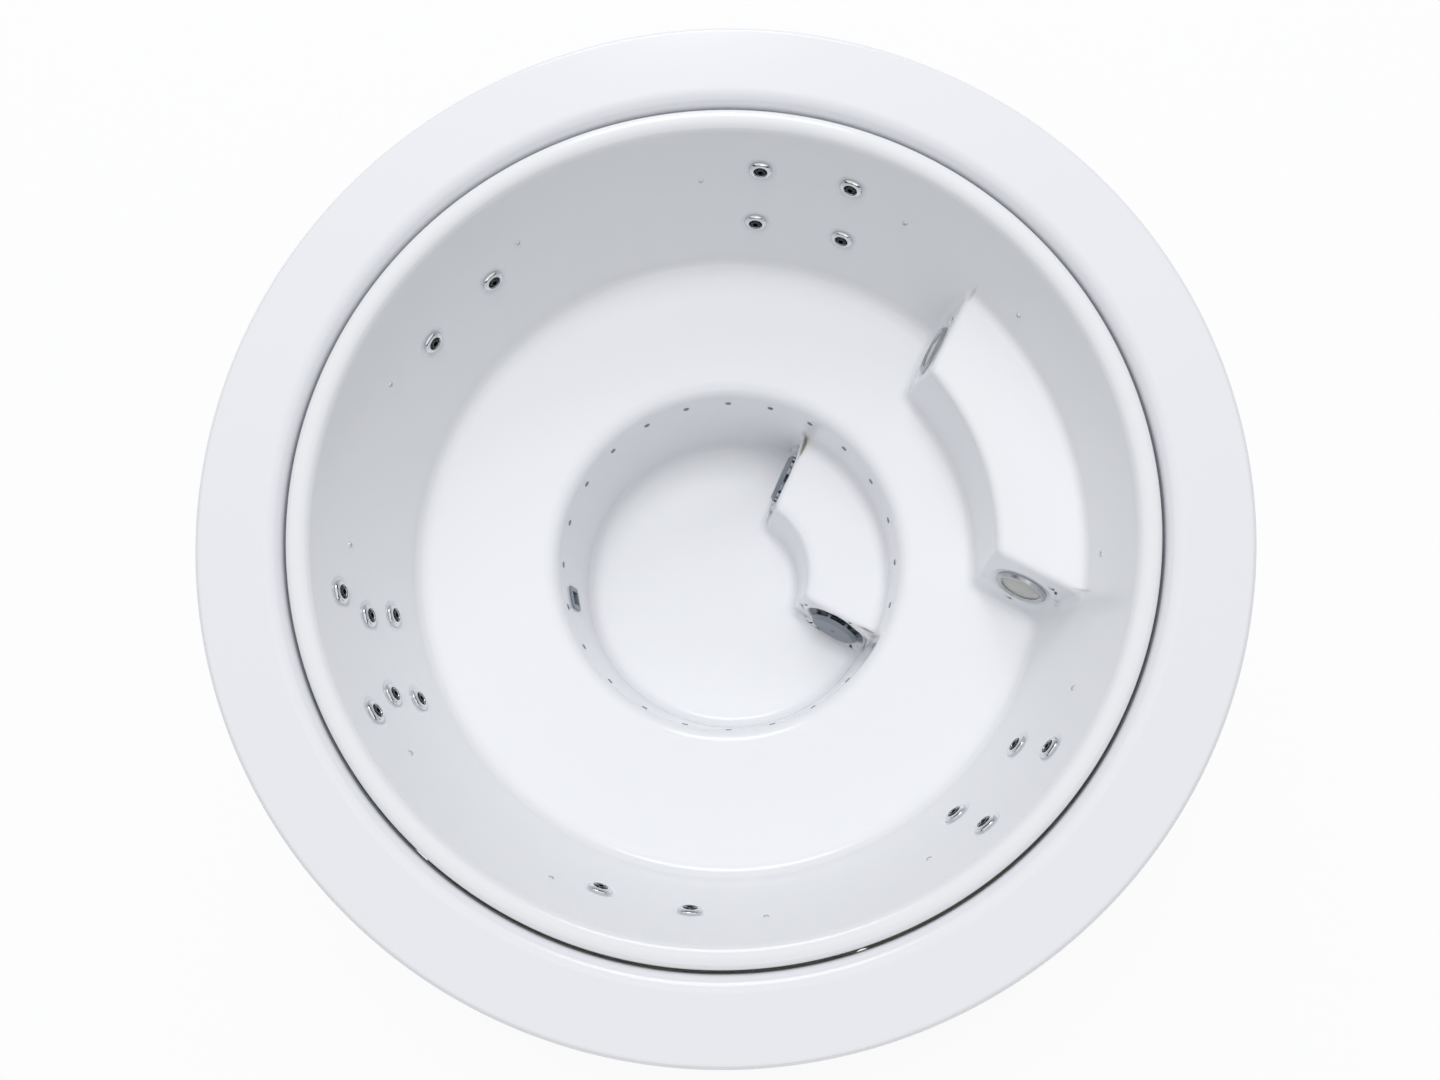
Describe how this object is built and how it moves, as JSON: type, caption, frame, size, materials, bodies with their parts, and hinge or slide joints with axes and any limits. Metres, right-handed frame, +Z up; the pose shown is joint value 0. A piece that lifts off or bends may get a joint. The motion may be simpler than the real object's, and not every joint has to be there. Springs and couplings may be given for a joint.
{
  "type": "hot tub",
  "caption": "Round built-in overflow hot tub: white basin with ring seat, two entry steps, wall jets, lights and suctions, a spill slot with gutter, pipework and a steel stand.",
  "frame": {"origin": "on the ground under the centre of the tub", "axes": "+Z up, +X towards the entry steps' side, 18 degrees clockwise of the steps' middle"},
  "size_m": [2.3499, 2.3498, 1.021],
  "materials": {
    "acrylic": "white cast acrylic, polished",
    "grey_acrylic": "white cast acrylic, polished",
    "grp": "glass-fibre laminate",
    "chrome": "polished chrome plate",
    "nozzle": "dark moulded plastic",
    "abs_grey": "grey moulded plastic",
    "pvc_white": "white pressure pipe",
    "abs_black": "black moulded plastic",
    "seal": "black rubber",
    "lens": "clear moulded lens",
    "stainless": "stainless steel",
    "galvanised": "hot-dip galvanised steel",
    "plywood": "sealed birch plywood",
    "lever": "red moulded plastic",
    "foot": "black glass-filled plastic on a steel thread"
  },
  "bodies": {
    "tub": {"air_ring_main": "pvc_white", "air_risers": "pvc_white", "basin_shell": "acrylic", "drain_valve_body": "pvc_white", "floor_board": "plywood", "footwell_air_channel": "grp", "footwell_air_nozzles": "abs_grey", "frame_floor_beams": "galvanised", "frame_legs": "galvanised", "frame_seat_support": "galvanised", "frame_top_ring": "galvanised", "gutter_brackets": "galvanised", "gutter_outlets": "pvc_white", "gutter_seal": "seal", "jet_bodies": "pvc_white", "jet_gaskets": "seal", "jet_rings": "chrome", "light_nuts": "abs_black", "overflow_collar": "grey_acrylic", "overflow_gutter": "grp", "return_inlet": "abs_grey", "seat_pads": "seal", "step_light_housings": "abs_black", "step_light_lenses": "lens", "step_light_rings": "stainless", "suction_bodies": "abs_grey", "suction_covers": "abs_grey", "suction_gaskets": "seal", "suction_line": "pvc_white", "suction_nuts": "abs_grey", "suction_screws": "stainless", "wall_light_bezels": "chrome", "wall_light_lenses": "lens", "water_ring_main": "pvc_white", "water_risers": "pvc_white"},
    "jet_nozzle_01": {"jet_nozzle_01": "nozzle"},
    "jet_nozzle_02": {"jet_nozzle_02": "nozzle"},
    "jet_nozzle_03": {"jet_nozzle_03": "nozzle"},
    "jet_nozzle_04": {"jet_nozzle_04": "nozzle"},
    "jet_nozzle_05": {"jet_nozzle_05": "nozzle"},
    "jet_nozzle_06": {"jet_nozzle_06": "nozzle"},
    "jet_nozzle_07": {"jet_nozzle_07": "nozzle"},
    "jet_nozzle_08": {"jet_nozzle_08": "nozzle"},
    "jet_nozzle_09": {"jet_nozzle_09": "nozzle"},
    "jet_nozzle_10": {"jet_nozzle_10": "nozzle"},
    "jet_nozzle_11": {"jet_nozzle_11": "nozzle"},
    "jet_nozzle_12": {"jet_nozzle_12": "nozzle"},
    "jet_nozzle_13": {"jet_nozzle_13": "nozzle"},
    "jet_nozzle_14": {"jet_nozzle_14": "nozzle"},
    "jet_nozzle_15": {"jet_nozzle_15": "nozzle"},
    "jet_nozzle_16": {"jet_nozzle_16": "nozzle"},
    "jet_nozzle_17": {"jet_nozzle_17": "nozzle"},
    "jet_nozzle_18": {"jet_nozzle_18": "nozzle"},
    "levelling_foot_1": {"levelling_foot_1": "foot"},
    "levelling_foot_2": {"levelling_foot_2": "foot"},
    "levelling_foot_3": {"levelling_foot_3": "foot"},
    "levelling_foot_4": {"levelling_foot_4": "foot"},
    "levelling_foot_5": {"levelling_foot_5": "foot"},
    "levelling_foot_6": {"levelling_foot_6": "foot"},
    "drain_valve_lever": {"drain_valve_lever": "lever"}
  },
  "joints": [
    {"name": "jet_01_tilt", "type": "hinge", "parent": "tub", "child": "jet_nozzle_01", "pos_m": [0.31231, 0.83531, 0.86297], "axis": [-0.9367, 0.3502, 0], "range_deg": [-15, 15]},
    {"name": "jet_02_tilt", "type": "hinge", "parent": "tub", "child": "jet_nozzle_02", "pos_m": [0.09471, 0.8862, 0.86097], "axis": [-0.9943, 0.1063, 0], "range_deg": [-15, 15]},
    {"name": "jet_03_tilt", "type": "hinge", "parent": "tub", "child": "jet_nozzle_03", "pos_m": [0.29649, 0.78463, 0.66497], "axis": [-0.9354, 0.3535, 0], "range_deg": [-15, 15]},
    {"name": "jet_04_tilt", "type": "hinge", "parent": "tub", "child": "jet_nozzle_04", "pos_m": [0.07889, 0.83452, 0.66297], "axis": [-0.9956, 0.0941, 0], "range_deg": [-15, 15]},
    {"name": "jet_05_tilt", "type": "hinge", "parent": "tub", "child": "jet_nozzle_05", "pos_m": [-0.5696, 0.65065, 0.76197], "axis": [-0.7524, -0.6587, 0], "range_deg": [-15, 15]},
    {"name": "jet_06_tilt", "type": "hinge", "parent": "tub", "child": "jet_nozzle_06", "pos_m": [-0.71183, 0.49289, 0.76597], "axis": [-0.5693, -0.8221, 0], "range_deg": [-15, 15]},
    {"name": "jet_07_tilt", "type": "hinge", "parent": "tub", "child": "jet_nozzle_07", "pos_m": [-0.88216, -0.14288, 0.86997], "axis": [0.1599, -0.9871, 0], "range_deg": [-15, 15]},
    {"name": "jet_08_tilt", "type": "hinge", "parent": "tub", "child": "jet_nozzle_08", "pos_m": [-0.84417, -0.18252, 0.75797], "axis": [0.2113, -0.9774, 0], "range_deg": [-15, 15]},
    {"name": "jet_09_tilt", "type": "hinge", "parent": "tub", "child": "jet_nozzle_09", "pos_m": [-0.81488, -0.16431, 0.63697], "axis": [0.1977, -0.9803, 0], "range_deg": [-15, 15]},
    {"name": "jet_10_tilt", "type": "hinge", "parent": "tub", "child": "jet_nozzle_10", "pos_m": [-0.79, -0.42005, 0.87397], "axis": [0.4695, -0.8829, 0], "range_deg": [-15, 15]},
    {"name": "jet_11_tilt", "type": "hinge", "parent": "tub", "child": "jet_nozzle_11", "pos_m": [-0.7797, -0.37023, 0.75597], "axis": [0.4289, -0.9033, 0], "range_deg": [-15, 15]},
    {"name": "jet_12_tilt", "type": "hinge", "parent": "tub", "child": "jet_nozzle_12", "pos_m": [-0.74442, -0.37116, 0.63897], "axis": [0.4462, -0.8949, 0], "range_deg": [-15, 15]},
    {"name": "jet_13_tilt", "type": "hinge", "parent": "tub", "child": "jet_nozzle_13", "pos_m": [-0.28296, -0.81714, 0.76197], "axis": [0.9449, -0.3272, 0], "range_deg": [-15, 15]},
    {"name": "jet_14_tilt", "type": "hinge", "parent": "tub", "child": "jet_nozzle_14", "pos_m": [-0.07562, -0.86439, 0.77297], "axis": [0.9962, -0.0872, 0], "range_deg": [-15, 15]},
    {"name": "jet_15_tilt", "type": "hinge", "parent": "tub", "child": "jet_nozzle_15", "pos_m": [0.54078, -0.64677, 0.68097], "axis": [0.7672, 0.6414, 0], "range_deg": [-15, 15]},
    {"name": "jet_16_tilt", "type": "hinge", "parent": "tub", "child": "jet_nozzle_16", "pos_m": [0.58676, -0.67262, 0.86597], "axis": [0.7536, 0.6574, 0], "range_deg": [-15, 15]},
    {"name": "jet_17_tilt", "type": "hinge", "parent": "tub", "child": "jet_nozzle_17", "pos_m": [0.68786, -0.48884, 0.68397], "axis": [0.5793, 0.8151, 0], "range_deg": [-15, 15]},
    {"name": "jet_18_tilt", "type": "hinge", "parent": "tub", "child": "jet_nozzle_18", "pos_m": [0.73494, -0.50511, 0.86297], "axis": [0.5664, 0.8241, 0], "range_deg": [-15, 15]},
    {"name": "foot_1_height", "type": "slide", "parent": "tub", "child": "levelling_foot_1", "axis": [0, 0, -1], "range_m": [0, 0.03]},
    {"name": "foot_2_height", "type": "slide", "parent": "tub", "child": "levelling_foot_2", "axis": [0, 0, -1], "range_m": [0, 0.03]},
    {"name": "foot_3_height", "type": "slide", "parent": "tub", "child": "levelling_foot_3", "axis": [0, 0, -1], "range_m": [0, 0.03]},
    {"name": "foot_4_height", "type": "slide", "parent": "tub", "child": "levelling_foot_4", "axis": [0, 0, -1], "range_m": [0, 0.03]},
    {"name": "foot_5_height", "type": "slide", "parent": "tub", "child": "levelling_foot_5", "axis": [0, 0, -1], "range_m": [0, 0.03]},
    {"name": "foot_6_height", "type": "slide", "parent": "tub", "child": "levelling_foot_6", "axis": [0, 0, -1], "range_m": [0, 0.03]},
    {"name": "drain_valve_turn", "type": "hinge", "parent": "tub", "child": "drain_valve_lever", "pos_m": [0.57946, 0.07735, 0.1812], "axis": [0, 0, -1], "range_deg": [0, 90]}
  ]
}
